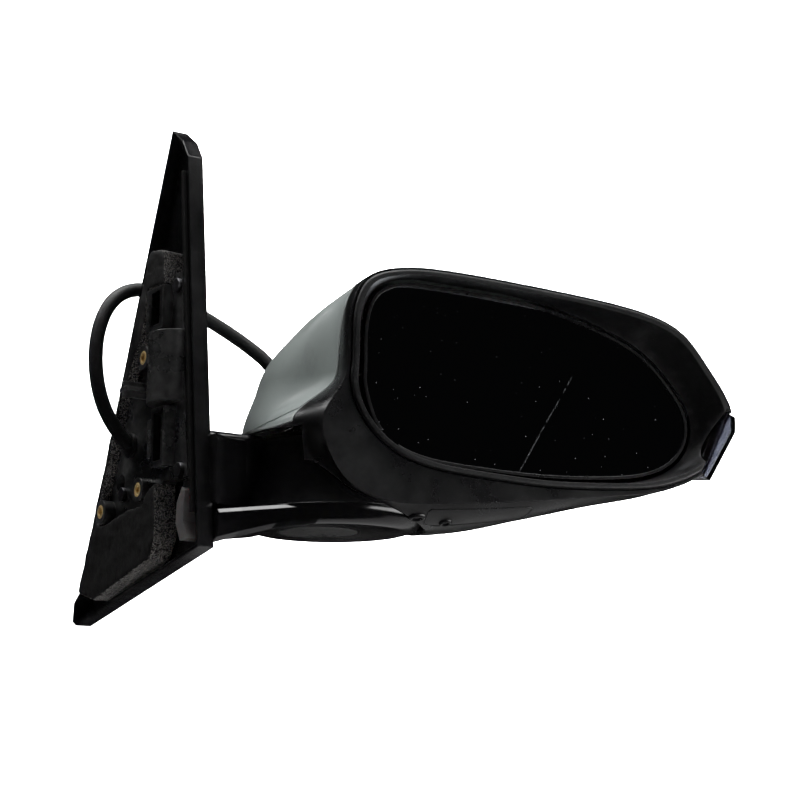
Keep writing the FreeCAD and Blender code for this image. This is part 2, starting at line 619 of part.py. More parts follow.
face_w = size("glass_face_w")
back_w = face_w + size("glass_thickness")
heater_w = back_w + size("heater_thickness")
carrier_w = heater_w + size("carrier_thickness")
pivot = Vector(size("pivot_u"), size("pivot_w"), size("pivot_v"))
rod_places = {"pitch": (size("pivot_u"), size("pivot_v") - size("rod_arm")),
              "yaw": (size("pivot_u") + size("rod_arm"), size("pivot_v"))}

case_box = box("case_box", ("pivot_u - case_half_u", "case_front_w", "pivot_v - case_half_v"),
               ("2 * case_half_u", "case_back_w - case_front_w", "2 * case_half_v"))
case_soft = rounded("case_soft", case_box, 5, lambda e: e.BoundBox.YLength > 5)
case_hollow = box("case_hollow", ("pivot_u - case_half_u + 2.2", "case_front_w + 2.2", "pivot_v - case_half_v + 2.2"),
                  ("2 * case_half_u - 4.4", "case_back_w - case_front_w", "2 * case_half_v - 4.4"))
rod_holes = [round_bar("rod_hole_" + name, "rod_radius + running_gap", 12, (u, "case_front_w - 4", v), "y")
             for name, (u, v) in rod_places.items()]
ears = []
for i, side in enumerate((-1, 1)):
    ear = box("case_ear_%d" % i, (size("pivot_u") + side * 10.4 - 1.6, size("pivot_w") - 3.3, size("pivot_v") - 5),
              (3.2, size("case_front_w") - size("pivot_w") + 4.3, 10))
    ears.append(ear)
ear_bore = round_bar("ear_bore", "pin_radius + running_gap", 40, ("pivot_u - 20", "pivot_w", "pivot_v"), "x")
case_shell = cut("case_shell", case_soft, case_hollow)
node("actuator_case", cut("actuator_case_cut", fuse("case_with_ears", case_shell, *ears), ear_bore, *rod_holes), True)
lid = box("lid", ("pivot_u - case_half_u + 2.5", "case_back_w - 2.2", "pivot_v - case_half_v + 2.5"),
          ("2 * case_half_u - 5", 2.1, "2 * case_half_v - 5"))
lid_seats = [round_bar("lid_seat_" + name, "rod_radius + 0.6", 6, (u, "case_back_w - 4", v), "y")
             for name, (u, v) in rod_places.items()]
node("actuator_cover", cut("actuator_cover_cut", lid, *lid_seats), True)
# Each motor lies above its nut, with its worm beside the nut's teeth
for name, (u, v) in rod_places.items():
    axle_v = "%g + nut_radius + worm_radius + 0.1" % v
    worm_u = "%g - worm_length / 2" % u
    can = round_bar(name + "_can", "motor_radius", "motor_length",
                    (worm_u + " - shaft_length - motor_length", "motor_w", axle_v), "x")
    shaft = round_bar(name + "_shaft", 1, "shaft_length + 2", (worm_u + " - shaft_length - 1", "motor_w", axle_v), "x")
    worm = round_bar(name + "_worm", "worm_radius", "worm_length", (worm_u, "motor_w", axle_v), "x")
    node(name + "_motor", fuse(name + "_motor_fuse", can, shaft, worm), True)


def gear(place, radius, teeth, thickness, bore):
    """A spur gear along w with straight-sided teeth, from the middle of its rear face."""
    points = []
    for i in range(teeth):
        for turn, reach in ((0.0, radius - 1), (0.25, radius - 1), (0.4, radius), (0.65, radius), (0.8, radius - 1)):
            angle = 2 * math.pi * (i + turn) / teeth
            points.append(place + Vector(reach * math.cos(angle), 0, reach * math.sin(angle)))
    face = Part.Face(Part.makePolygon(points + points[:1]))
    wheel = face.extrude(Vector(0, thickness, 0))
    return wheel.cut(Part.makeCylinder(bore, thickness + 4, place - Vector(0, 2, 0), Vector(0, 1, 0)))


for name, (u, v) in rod_places.items():
    nut_place = Vector(u, size("motor_w") - size("nut_thickness") / 2, v)
    wheel = gear(nut_place, size("nut_radius"), 24, size("nut_thickness"), size("rod_radius") + size("running_gap"))
    node(name + "_nut", feature(name + "_nut", wheel), True)
    tip_w = carrier_w + size("rod_tip_radius") + size("rod_tip_gap")
    tip = Part.makeSphere(size("rod_tip_radius"), Vector(u, tip_w, v))
    stem = Part.makeCylinder(size("rod_radius"), size("rod_length"), Vector(u, tip_w + 0.6, v), Vector(0, 1, 0))
    node(name + "_rod", feature(name + "_rod", tip.fuse(stem).removeSplitter()), True)

cross_u = round_bar("cross_u", "pin_radius", "2 * pin_reach", ("pivot_u - pin_reach", "pivot_w", "pivot_v"), "x")
cross_v = round_bar("cross_v", "pin_radius", "2 * pin_reach", ("pivot_u", "pivot_w", "pivot_v - pin_reach"), "z")
cross_block = box("cross_block", ("pivot_u - 4", "pivot_w - 3.6", "pivot_v - 4"), (8, 7.2, 8))
node("gimbal_cross", fuse("gimbal_cross_fuse", cross_u, cross_v, cross_block), True)

# ---------------------------------------------------------------- glass

node("mirror_glass", feature("mirror_glass", slab(GLASS, face_w, back_w)), True)
node("heater_pad", feature("heater_pad", slab(shifted(GLASS, -3), back_w, heater_w)), True)
holder = slab(shifted(GLASS, size("carrier_lip")), face_w - 0.5, carrier_w)
holder = holder.cut(slab(shifted(GLASS, 0.05), face_w + 0.01, heater_w))
holder = holder.cut(slab(shifted(GLASS, -0.7), face_w - 2, face_w + 1))
for i, side in enumerate((-1, 1)):
    ear_low = Vector(pivot.x - 5, carrier_w - 0.5, pivot.z + side * 10.4 - 1.6)
    holder = holder.fuse(Part.makeBox(10, pivot.y + 4 - carrier_w, 3.2, ear_low))
# The arm's round deck, as the glass sees it when tilted right over, leaves a small notch in the holder
deck_room = Part.makeCylinder(33, 30, Vector(0, 0, -71))
deck_room.rotate(pivot, Vector(1, 0, 0), -size("notch_tilt"))
deck_room.rotate(pivot, Vector(0, 0, 1), size("notch_tilt"))
holder = largest(holder.cut(deck_room))
pin_bore = Part.makeCylinder(size("pin_radius") + size("running_gap"), 40, pivot - Vector(0, 0, 20), Vector(0, 0, 1))
node("glass_carrier", feature("glass_carrier", holder.cut(pin_bore).removeSplitter()), True)

# ---------------------------------------------------------------- head shell


def head_body(inset):
    """The head's outer form, or the hollow inside it: upright sections, then a dome forward."""
    sections = [(w, shifted(outline, -inset)) for w, outline in HEAD_SECTIONS]
    sections[0] = (sections[0][0] + inset, sections[0][1])
    last = sections[-1][1]
    depth = size("dome_depth") - inset
    for step in DOME_STEPS:
        scale = (1 - step ** DOME_POWER) ** (1 / DOME_POWER)
        outline = [(DOME_CENTRE[0] + (u - DOME_CENTRE[0]) * scale,
                    DOME_CENTRE[1] + (v - DOME_CENTRE[1]) * scale) for u, v in last]
        sections.append((size("dome_start_w") + depth * step, outline, size("dome_slant") * step))
    return loft(sections)


def arm_space():
    """The room under and inside the head that the arm, its tower and its foot need at every fold angle."""
    gap = size("foot_clearance")
    under = size("arm_top_z") + size("ring_gap")
    foot_room = Part.makeCylinder(size("foot_radius") + gap, 60, Vector(0, 0, size("shelf_z") + gap - 60))
    round_room = bell(-gap).revolve(Vector(), Vector(0, 0, 1), 360)
    core_room = Part.makeCylinder(size("deck_hole_radius") + 8, 90, Vector(0, 0, under - 90))
    reach = 130
    rear = math.radians(180 + size("head_turn") + size("fold_rearward"))
    front = math.radians(180 + size("head_turn") - size("fold_forward"))
    front_wall = size("arm_front_y") - size("fold_axis_y") + gap
    along = Vector(math.cos(front), math.sin(front), 0)
    touch = Vector(along.y, -along.x, 0) * front_wall
    far = touch + along * reach
    corners = [Vector(), Vector(reach * math.cos(rear), reach * math.sin(rear), 0),
               Vector(-reach, -reach, 0), Vector(-reach, far.y, 0), far, touch]
    wedge = [corner + Vector(0, 0, under) for corner in corners]
    sweep = Part.Face(Part.makePolygon(wedge + wedge[:1])).extrude(Vector(0, 0, -90))
    return foot_room.fuse([core_room, round_room, sweep])


outer = head_body(0)
inner = head_body(size("shell_wall"))
shell = outer.cut(inner).cut(arm_space())
shell = shell.cut(slab(shifted(RIM, -size("lip_inset") + 0.3), -60, size("mouth_depth_w")))

seam = size("seam")
top_v = 70
cap_outline = CAP_EDGE + [(225, top_v), (-60, top_v)]
cap_zone = zone(cap_outline, size("cap_edge_w"), 70)
cap_room = zone([(u, v - seam) for u, v in CAP_EDGE] + cap_outline[-2:], size("cap_edge_w") - seam, 70)


def lamp_body(spread, rear_w, front_w):
    """The lamp's tapered outline, spread or shrunk sideways, between two depths."""
    span_w = size("lamp_front_w") - size("lamp_rear_w")
    wires = []
    for w in (rear_w, front_w):
        share = (w - size("lamp_rear_w")) / span_w
        between = [(a + (c - a) * share, b + (d - b) * share) for (a, b), (c, d) in zip(LAMP_REAR, LAMP_FRONT)]
        corners = [Vector(u, w, v) for u, v in shifted(between, spread)]
        wires.append(Part.makePolygon(corners + corners[:1]))
    return Part.makeLoft(wires, True, True)


lamp_room = lamp_body(seam, size("lamp_rear_w") - 16, size("lamp_front_w") + seam)
low_outline = [(u, v - seam) for u, v in CAP_EDGE] + [(225, -110), (-60, -110)]
front_zone = zone(low_outline, size("front_cover_w"), 70)
front_room = zone(low_outline, size("front_cover_w") - seam, 70)


cap = largest(shell.common(cap_zone).cut(lamp_room))
rear_shell = shell.cut(cap_room)
lens = lamp_body(0, size("lamp_rear_w"), size("lamp_front_w")).cut(
    lamp_body(-size("lens_wall"), size("lamp_rear_w") + size("lens_wall"), size("lamp_front_w") + 1))
housing = rear_shell.cut(lamp_room).cut(front_room)
node("head_housing", feature("head_housing", largest(housing)), True)
node("skull_cap", feature("skull_cap", cap), True)
node("front_lower_cover", feature("front_lower_cover", largest(rear_shell.cut(lamp_room).common(front_zone))), True)
node("indicator_lens", feature("indicator_lens", lens), True)

lip_outer = slab(shifted(RIM, -size("lip_inset")), size("lip_face_w"), size("lip_back_w"))
soft_edges = [edge for edge in lip_outer.Edges if edge.BoundBox.YMax < size("lip_face_w") + 0.1]
lip_outer = lip_outer.makeFillet(1.3, soft_edges)
opening_back = shifted(GLASS, size("funnel_gap"))
funnel_outer = loft([(size("lip_back_w") - 0.2, shifted(RIM, -size("lip_inset") - 1.4)),
                     (size("funnel_back_w"), shifted(opening_back, 1.8))])
funnel_hole = loft([(size("lip_face_w") - 0.6, shifted(RIM, -size("lip_width") + 0.4)),
                    (size("funnel_back_w") + 0.2, opening_back)])
bezel = lip_outer.fuse(funnel_outer).cut(funnel_hole)
node("mirror_bezel", feature("mirror_bezel", largest(bezel.cut(lamp_room))), True)

# Behind the lens: a dark tray and two light bars along the lamp's length
light_front_w = size("lamp_rear_w") + 13
tray = lamp_body(-size("lens_wall") - 0.3, light_front_w + 0.4, size("lamp_front_w") - 0.4)
node("lamp_tray", feature("lamp_tray", tray), True)


def light_bar(near, far):
    """One clear light guide along the lamp, between two shares of the lamp's width from its inboard side."""
    inside = shifted(LAMP_REAR, -size("lens_wall") - 0.6)
    top_out, side_out, low_out, low_in, top_in = inside
    corners = [(low_in[0] + (low_out[0] - low_in[0]) * near, low_in[1] + (low_out[1] - low_in[1]) * near),
               (top_in[0] + (top_out[0] - top_in[0]) * near, top_in[1] + (top_out[1] - top_in[1]) * near),
               (top_in[0] + (top_out[0] - top_in[0]) * far, top_in[1] + (top_out[1] - top_in[1]) * far),
               (low_in[0] + (low_out[0] - low_in[0]) * far, low_in[1] + (low_out[1] - low_in[1]) * far)]
    bar = zone(corners, size("lamp_rear_w") + size("lens_wall") + 0.4, light_front_w)
    return bar.common(lamp_body(-size("lens_wall") - 0.4, size("lamp_rear_w") + 1, light_front_w))


node("light_guides", feature("light_guides", Part.makeCompound([light_bar(0, 0.3), light_bar(0.52, 0.72)])), True)

# Screws that hold the actuator to the head frame
node("actuator_screws", feature("actuator_screws", screw_group(
    [Vector(u, size("case_back_w") + 5.4, v) for u, v in ((62, -41), (62, 13), (128, -41), (128, 13))],
    1.6, 12, 3.2, 1.8, Vector(0, -1, 0))), True)

# ---------------------------------------------------------------- harness


def cord_tube(route, radius):
    """A round tube along straight runs joined by tangent arcs as large as the runs allow."""
    points = [Vector(*place) for place in route]
    edges = []
    start = points[0]
    radii = []
    for before, corner, after in zip(points, points[1:], points[2:]):
        back = (before - corner).normalize()
        ahead = (after - corner).normalize()
        turn = math.pi - back.getAngle(ahead)
        reach = 0.45 * min((before - corner).Length, (after - corner).Length)
        arc_radius = reach / math.tan(turn / 2)
        radii.append(round(arc_radius, 1))
        first = corner + back * reach
        last = corner + ahead * reach
        middle_way = (back + ahead).normalize()
        centre = corner + middle_way * math.hypot(reach, arc_radius)
        middle = centre - middle_way * arc_radius
        edges.append(Part.LineSegment(start, first).toShape())
        edges.append(Part.Arc(first, middle, last).toShape())
        start = last
    edges.append(Part.LineSegment(start, points[-1]).toShape())
    path = Part.Wire(edges)
    circle = Part.Wire(Part.makeCircle(radius, points[0], points[1] - points[0]))
    tube = path.makePipeShell([circle], True, False)
    expected = math.pi * radius ** 2 * path.Length
    print("harness: length %.1f mm, radii %s, volume ratio %.4f" % (path.Length, radii, tube.Volume / expected))
    return tube


node("wiring_harness", feature("wiring_harness", cord_tube(HARNESS, size("cord_radius"))))
end = Vector(*HARNESS[-1])
plug = Part.makeBox(*CONNECTOR_SIZE, end - Vector(CONNECTOR_SIZE[0] / 2, CONNECTOR_SIZE[1] / 2, CONNECTOR_SIZE[2]))
node("harness_connector", feature("harness_connector", plug.makeFillet(1.2, plug.Edges)))

# ---------------------------------------------------------------- check and write

doc.recompute()
for thing in doc.Objects:
    if "Invalid" in thing.State or "Error" in thing.State:
        raise RuntimeError("%s failed: %s" % (thing.Name, thing.State))
os.makedirs("parts", exist_ok=True)
for thing in nodes:
    if thing.Shape.isNull() or not thing.Shape.isValid() or not thing.Shape.Solids:
        raise RuntimeError("%s has no valid solid" % thing.Label)
for thing in nodes:
    thing.Shape.exportStep("parts/%s.step" % thing.Label)
    print("%-20s solids %d volume %.1f cm3" % (thing.Label, len(thing.Shape.Solids), thing.Shape.Volume / 1000))
print(len(nodes), "nodes")
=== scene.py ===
import json
import math

import bpy
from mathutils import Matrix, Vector
from mathutils.bvhtree import BVHTree


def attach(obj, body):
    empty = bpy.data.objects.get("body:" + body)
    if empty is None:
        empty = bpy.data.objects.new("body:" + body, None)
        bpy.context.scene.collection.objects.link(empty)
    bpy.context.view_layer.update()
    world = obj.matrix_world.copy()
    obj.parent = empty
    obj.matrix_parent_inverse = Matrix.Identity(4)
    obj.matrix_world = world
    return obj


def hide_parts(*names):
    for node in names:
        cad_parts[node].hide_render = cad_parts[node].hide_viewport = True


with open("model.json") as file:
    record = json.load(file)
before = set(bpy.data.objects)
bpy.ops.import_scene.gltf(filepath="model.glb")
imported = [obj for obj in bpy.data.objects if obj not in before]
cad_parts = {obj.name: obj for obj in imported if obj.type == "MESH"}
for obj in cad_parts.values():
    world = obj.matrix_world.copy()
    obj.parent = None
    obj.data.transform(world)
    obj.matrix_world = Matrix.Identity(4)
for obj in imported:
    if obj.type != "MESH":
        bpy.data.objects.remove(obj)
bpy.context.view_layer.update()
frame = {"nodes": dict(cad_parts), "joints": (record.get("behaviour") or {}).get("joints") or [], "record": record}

MM = 0.001
nodes = frame["nodes"]
collection = bpy.context.scene.collection

# The head's own frame, read from the fold and pitch joints.
# From the fold axis, u is outboard, w is forward and v is up.
joints = {joint["name"]: joint for joint in frame["joints"]}
FOLD = Vector(joints["head_fold"]["pos_m"])
U_AXIS = Vector(joints["glass_pitch"]["axis"]).normalized()
W_AXIS = Vector((0, 0, 1)).cross(U_AXIS)


def at_head(u, w, v):
    """A point of the head's frame, given in millimetres, in the row frame."""
    return FOLD + U_AXIS * (u * MM) + W_AXIS * (w * MM) + Vector((0, 0, v * MM))


# ---------------------------------------------------------------- camera

CAMERA_PLACE = Vector((-0.3703, -0.7831, -0.2039))
CAMERA_TARGET = Vector((0.1493, -0.0128, -0.0064))
lens_mm = 77.7
camera_data = bpy.data.cameras.new("camera")
camera_data.sensor_width = 36
camera_data.lens = lens_mm
camera_data.clip_start = 0.01
camera = bpy.data.objects.new("camera", camera_data)
collection.objects.link(camera)
camera.location = CAMERA_PLACE
camera.rotation_euler = (CAMERA_TARGET - CAMERA_PLACE).to_track_quat("-Z", "Y").to_euler()
bpy.context.scene.camera = camera

# ---------------------------------------------------------------- materials


class Paint:
    """A node material with a Principled shader, and short calls that wire procedural detail into it."""

    def __init__(self, name, color, roughness, metallic=0.0, **sockets):
        self.material = bpy.data.materials.new(name)
        self.material.use_nodes = True
        self.tree = self.material.node_tree
        self.shader = self.tree.nodes["Principled BSDF"]
        self.shader.inputs["Base Color"].default_value = (*color, 1)
        self.shader.inputs["Roughness"].default_value = roughness
        self.shader.inputs["Metallic"].default_value = metallic
        for socket, value in sockets.items():
            self.shader.inputs[socket.replace("_", " ")].default_value = value
        self.color = (*color, 1)
        self.roughness = roughness
        self.place = self.add("ShaderNodeTexCoord").outputs["Object"]
        rounding = self.add("ShaderNodeBevel", samples=6)
        rounding.inputs["Radius"].default_value = 0.0007
        self.normal = rounding.outputs["Normal"]

    def add(self, kind, **settings):
        """A node with its settings."""
        thing = self.tree.nodes.new(kind)
        for key, value in settings.items():
            setattr(thing, key, value)
        return thing

    def link(self, source, target):
        """A link between two sockets."""
        self.tree.links.new(source, target)

    def stretched(self, scale):
        """The object's coordinates, scaled apart along each axis."""
        mapping = self.add("ShaderNodeMapping")
        mapping.inputs["Scale"].default_value = scale
        self.link(self.place, mapping.inputs["Vector"])
        return mapping.outputs["Vector"]

    def cloud(self, scale, detail=4.0, rough=0.6, stretch=None):
        """Soft noise from 0 to 1; scale is features per metre."""
        texture = self.add("ShaderNodeTexNoise")
        texture.inputs["Scale"].default_value = scale
        texture.inputs["Detail"].default_value = detail
        texture.inputs["Roughness"].default_value = rough
        self.link(self.stretched(stretch) if stretch else self.place, texture.inputs["Vector"])
        return texture.outputs["Fac"]

    def cells(self, scale, feature="F1", output="Distance", stretch=None):
        """Cell noise; scale is cells per metre."""
        texture = self.add("ShaderNodeTexVoronoi", feature=feature)
        texture.inputs["Scale"].default_value = scale
        self.link(self.stretched(stretch) if stretch else self.place, texture.inputs["Vector"])
        return texture.outputs[output]

    def span(self, source, low, high, to_low=0.0, to_high=1.0):
        """A value stretched from one range to another, and held inside it."""
        mapper = self.add("ShaderNodeMapRange")
        mapper.inputs["From Min"].default_value = low
        mapper.inputs["From Max"].default_value = high
        mapper.inputs["To Min"].default_value = to_low
        mapper.inputs["To Max"].default_value = to_high
        self.link(source, mapper.inputs["Value"])
        return mapper.outputs["Result"]

    def math(self, operation, first, second):
        """Two values joined by one operation."""
        joined = self.add("ShaderNodeMath", operation=operation)
        for socket, value in zip(joined.inputs, (first, second)):
            if isinstance(value, (int, float)):
                socket.default_value = value
            else:
                self.link(value, socket)
        return joined.outputs["Value"]

    def tint(self, mask, color):
        """Blend another colour in where the mask is 1."""
        mixer = self.add("ShaderNodeMix", data_type="RGBA")
        self.link(mask, mixer.inputs["Factor"])
        socket = self.shader.inputs["Base Color"]
        if socket.is_linked:
            self.link(socket.links[0].from_socket, mixer.inputs[6])
        else:
            mixer.inputs[6].default_value = self.color
        mixer.inputs[7].default_value = (*color, 1)
        self.link(mixer.outputs[2], socket)

    def shine(self, mask, roughness):
        """Blend another roughness in where the mask is 1."""
        mixer = self.add("ShaderNodeMix", data_type="FLOAT")
        self.link(mask, mixer.inputs["Factor"])
        socket = self.shader.inputs["Roughness"]
        if socket.is_linked:
            self.link(socket.links[0].from_socket, mixer.inputs[2])
        else:
            mixer.inputs[2].default_value = self.roughness
        mixer.inputs[3].default_value = roughness
        self.link(mixer.outputs[0], socket)

    def raise_by(self, height, depth, strength=1.0):
        """Bump from a height; depth is in metres."""
        bump = self.add("ShaderNodeBump")
        bump.inputs["Distance"].default_value = depth
        if isinstance(strength, (int, float)):
            bump.inputs["Strength"].default_value = strength
        else:
            self.link(strength, bump.inputs["Strength"])
        self.link(height, bump.inputs["Height"])
        self.link(self.normal, bump.inputs["Normal"])
        self.normal = bump.outputs["Normal"]
        self.link(self.normal, self.shader.inputs["Normal"])

    def dust(self, amount=0.5, color=(0.35, 0.35, 0.34)):
        """Fine pale specks, thicker in patches."""
        specks = self.span(self.cells(900), 0.12, 0.04)
        patches = self.span(self.cloud(30, 3), 0.45, 0.75, 0, amount)
        mask = self.math("MULTIPLY", specks, patches)
        self.tint(mask, color)
        self.shine(mask, 0.9)

    def scratches(self, strength, roughness):
        """Short hairline scuffs in two directions."""
        for stretch, scale in (((40, 900, 260), 1.0), ((700, 60, 500), 1.7)):
            lines = self.cloud(scale, 2, 0.5, stretch)
            mask = self.span(lines, 0.66, 0.7, 0, strength)
            self.shine(mask, roughness)

    def edge_wear_and_highlight(self, color, amount=0.5, low=0.53, high=0.62):
        """A paler tone where the surface turns sharply: partly rubbed wear, partly a painted highlight along the
        bevelled edges.
        """
        edge = self.add("ShaderNodeNewGeometry").outputs["Pointiness"]
        broken = self.span(self.cloud(220, 5), 0.3, 0.7, 0.2, 1)
        self.tint(self.math("MULTIPLY", self.span(edge, low, high, 0, amount), broken), color)


def gloss_black():
    """Moulded gloss black: faint flow ripple, scuffs and dust."""
    paint = Paint("gloss_black_plastic", (0.0028, 0.0028, 0.0033), 0.14, Specular_IOR_Level=0.5)
    paint.shine(paint.span(paint.cloud(26, 5), 0.35, 0.7), 0.27)
    paint.scratches(0.25, 0.3)
    paint.raise_by(paint.cloud(70, 3, 0.5), 0.00025, 0.25)
    paint.dust(0.1)
    # Paler edges: partly rubbed wear, partly a painted highlight on the bevels.
    paint.edge_wear_and_highlight((0.02, 0.02, 0.021), 0.5)
    return paint.material


def satin_black():
    """Satin moulded black with a very fine grain."""
    paint = Paint("satin_black_plastic", (0.0032, 0.0032, 0.0038), 0.24, Specular_IOR_Level=0.42)
    paint.shine(paint.span(paint.cloud(40, 5), 0.35, 0.7), 0.42)
    paint.scratches(0.4, 0.5)
    paint.raise_by(paint.cloud(2600, 2, 0.5), 0.00004, 0.5)
    paint.dust(0.45)
    # Paler edges: partly rubbed wear, partly a painted highlight on the bevels.
    paint.edge_wear_and_highlight((0.04, 0.04, 0.041), 0.5)
    return paint.material


def grained_black():
    """Bezel plastic with a spark-eroded grain."""
    paint = Paint("grained_black_plastic", (0.0042, 0.0042, 0.0048), 0.34, Specular_IOR_Level=0.4)
    grain = paint.math("ADD", paint.cloud(2300, 3, 0.6), paint.cells(1500))
    paint.raise_by(grain, 0.00012, 0.75)
    paint.shine(paint.span(paint.cloud(35, 4), 0.4, 0.7), 0.52)
    paint.dust(0.6)
    # Paler edges: partly rubbed wear, partly a painted highlight on the bevels.
    paint.edge_wear_and_highlight((0.05, 0.05, 0.052), 0.6)
    return paint.material


def primer_grey():
    """Smooth grey primer with faint mottle, a fine dry-spray texture and darker smears."""
    paint = Paint("primer_grey", (0.3, 0.335, 0.325), 0.42, Specular_IOR_Level=0.5, Coat_Weight=0.12)
    paint.tint(paint.span(paint.cloud(18, 5, 0.6), 0.4, 0.75, 0, 0.4), (0.25, 0.28, 0.272))
    paint.tint(paint.span(paint.cloud(60, 6, 0.7, (1, 1, 0.25)), 0.6, 0.72, 0, 0.3), (0.17, 0.19, 0.182))
    paint.shine(paint.span(paint.cloud(50, 5), 0.4, 0.7), 0.52)
    paint.raise_by(paint.cloud(1800, 3, 0.6), 0.00005, 0.45)
    paint.dust(0.4, (0.45, 0.46, 0.45))
    # A much paler strip along the cap's sharp edges: a painted highlight on its bevels.
    paint.edge_wear_and_highlight((0.6, 0.63, 0.62), 0.8)
    return paint.material


def bracket_nylon():
    """Glass-filled nylon: faint fibre streaks and a satin sheen."""
    paint = Paint("glass_filled_nylon", (0.0035, 0.0038, 0.0042), 0.24, Specular_IOR_Level=0.5)
    fibres = paint.cloud(1, 5, 0.7, (300, 900, 60))
    paint.tint(paint.span(fibres, 0.55, 0.8, 0, 0.5), (0.012, 0.012, 0.0125))
    paint.raise_by(paint.cloud(1400, 4, 0.6), 0.0001, 0.5)
    paint.shine(paint.span(paint.cloud(60, 5), 0.4, 0.65), 0.58)
    paint.dust(0.7)
    # Paler edges: partly rubbed wear, partly a painted highlight on the bevels.
    paint.edge_wear_and_highlight((0.06, 0.06, 0.06), 0.7)
    return paint.material


def brass():
    """Turned brass with ring marks and tarnish."""
    paint = Paint("brass", (0.9, 0.66, 0.3), 0.38, 0.75)
    paint.tint(paint.span(paint.cloud(400, 5), 0.5, 0.75, 0, 0.5), (0.35, 0.22, 0.09))
    paint.shine(paint.span(paint.cloud(700, 4), 0.4, 0.7), 0.55)
    paint.raise_by(paint.cloud(1, 2, 0.5, (3000, 200, 200)), 0.00005, 0.6)
    return paint.material


def foam():
    """Open-cell foam: a dark broad face, and sides painted paler as painted light on them, with dark pores and
    bright cell walls.
    """
    paint = Paint("grey_foam", (0.012, 0.012, 0.0122), 0.62, Specular_IOR_Level=0.35)
    facing = paint.add("ShaderNodeSeparateXYZ")
    paint.link(paint.add("ShaderNodeTexCoord").outputs["Normal"], facing.inputs["Vector"])
    side = paint.span(paint.math("ABSOLUTE", facing.outputs["X"], 0), 0.75, 0.45)
    # Faces turned away from the inboard and outboard directions are painted much paler: painted light on the
    # sides.
    paint.tint(paint.math("MULTIPLY", side, 0.9), (0.17, 0.165, 0.16))
    pores = paint.cells(1250)
    paint.tint(paint.span(pores, 0.32, 0.6), (0.004, 0.004, 0.004))
    walls = paint.cells(2300, "F1", "Color")
    bright = paint.add("ShaderNodeSeparateColor")
    paint.link(walls, bright.inputs["Color"])
    sparkle = paint.span(bright.outputs["Red"], 0.8, 0.93, 0, 0.8)
    paint.tint(paint.math("MULTIPLY", sparkle, side), (0.2, 0.185, 0.165))
    paint.shine(paint.math("MULTIPLY", paint.span(bright.outputs["Green"], 0.8, 0.9), side), 0.4)
    paint.raise_by(pores, 0.0008, paint.span(side, 0, 1, 0.12, 0.9))
    paint.raise_by(paint.cloud(500, 5, 0.7), 0.0006, paint.span(side, 0, 1, 0.2, 0.7))
    return paint.material


def rubber():
    """Matt black rubber with bloom."""
    paint = Paint("black_rubber", (0.0055, 0.0055, 0.0058), 0.42, Specular_IOR_Level=0.4)
    paint.tint(paint.span(paint.cloud(120, 5), 0.5, 0.8, 0, 0.4), (0.014, 0.014, 0.014))
    paint.raise_by(paint.cloud(1500, 3), 0.00008, 0.5)
    paint.dust(0.5)
    return paint.material


def pale_nylon():
    """Light grey moulded nylon with flow marks."""
    paint = Paint("light_grey_nylon", (0.085, 0.086, 0.086), 0.4, Subsurface_Weight=0.05)
    paint.tint(paint.span(paint.cloud(90, 5), 0.45, 0.75, 0, 0.6), (0.045, 0.045, 0.045))
    paint.raise_by(paint.cloud(900, 3), 0.0001, 0.4)
    paint.dust(0.5, (0.08, 0.08, 0.08))
    return paint.material


def steel(name, color, roughness):
    """Plated or bare metal with fine turning marks and stains."""
    paint = Paint(name, color, roughness, 1.0)
    paint.tint(paint.span(paint.cloud(250, 5), 0.5, 0.75, 0, 0.5), tuple(c * 0.5 for c in color))
    paint.shine(paint.span(paint.cloud(500, 5), 0.4, 0.7), roughness + 0.2)
    paint.raise_by(paint.cloud(900, 4), 0.00006, 0.5)
    return paint.material


def acetal():
    """White moulded acetal."""
    paint = Paint("white_acetal", (0.62, 0.62, 0.6), 0.35, Subsurface_Weight=0.1)
    paint.tint(paint.span(paint.cloud(150, 4), 0.5, 0.8, 0, 0.5), (0.4, 0.39, 0.36))
    paint.raise_by(paint.cloud(700, 3), 0.00006, 0.4)
    return paint.material


def silvered_glass():
    """Mirror glass with dust specks in patches, wiped smears and one long faint scratch."""
    paint = Paint("mirror_glass", (0.55, 0.57, 0.6), 0.012, 1.0)
    split = paint.add("ShaderNodeSeparateXYZ")
    paint.link(paint.place, split.inputs["Vector"])
    smears = paint.span(paint.cloud(12, 6, 0.7, (1, 1, 2.2)), 0.5, 0.85, 0, 0.5)
    paint.shine(smears, 0.05)
    specks = paint.span(paint.cells(260), 0.075, 0.04)
    lower = paint.span(split.outputs["Z"], 0.012, -0.035, 0.15, 1)
    scattered = paint.math("MULTIPLY", paint.span(paint.cloud(45, 4), 0.42, 0.55), lower)
    mask = paint.math("MULTIPLY", specks, scattered)
    slope, rise = 1.731, -0.337
    wobble = paint.math("MULTIPLY", paint.cloud(60, 3), 0.002)
    line = paint.math("ADD", paint.math("MULTIPLY", split.outputs["X"], slope), wobble)
    above = paint.math("SUBTRACT", paint.math("SUBTRACT", split.outputs["Z"], line), rise)
    offset = paint.math("ABSOLUTE", above, 0)
    hair = paint.span(offset, 0.0008, 0.0003, 0, 0.16)
    broken = paint.span(paint.cloud(300, 4), 0.42, 0.55)
    low = paint.span(split.outputs["Z"], -0.006, -0.011)
    scratch = paint.math("MULTIPLY", paint.math("MULTIPLY", hair, broken), low)
    marks = paint.math("MAXIMUM", mask, scratch)
    paint.tint(marks, (0.16, 0.16, 0.17))
    paint.shine(marks, 0.7)
    paint.link(paint.span(marks, 0, 1, 1, 0), paint.shader.inputs["Metallic"])
    return paint.material


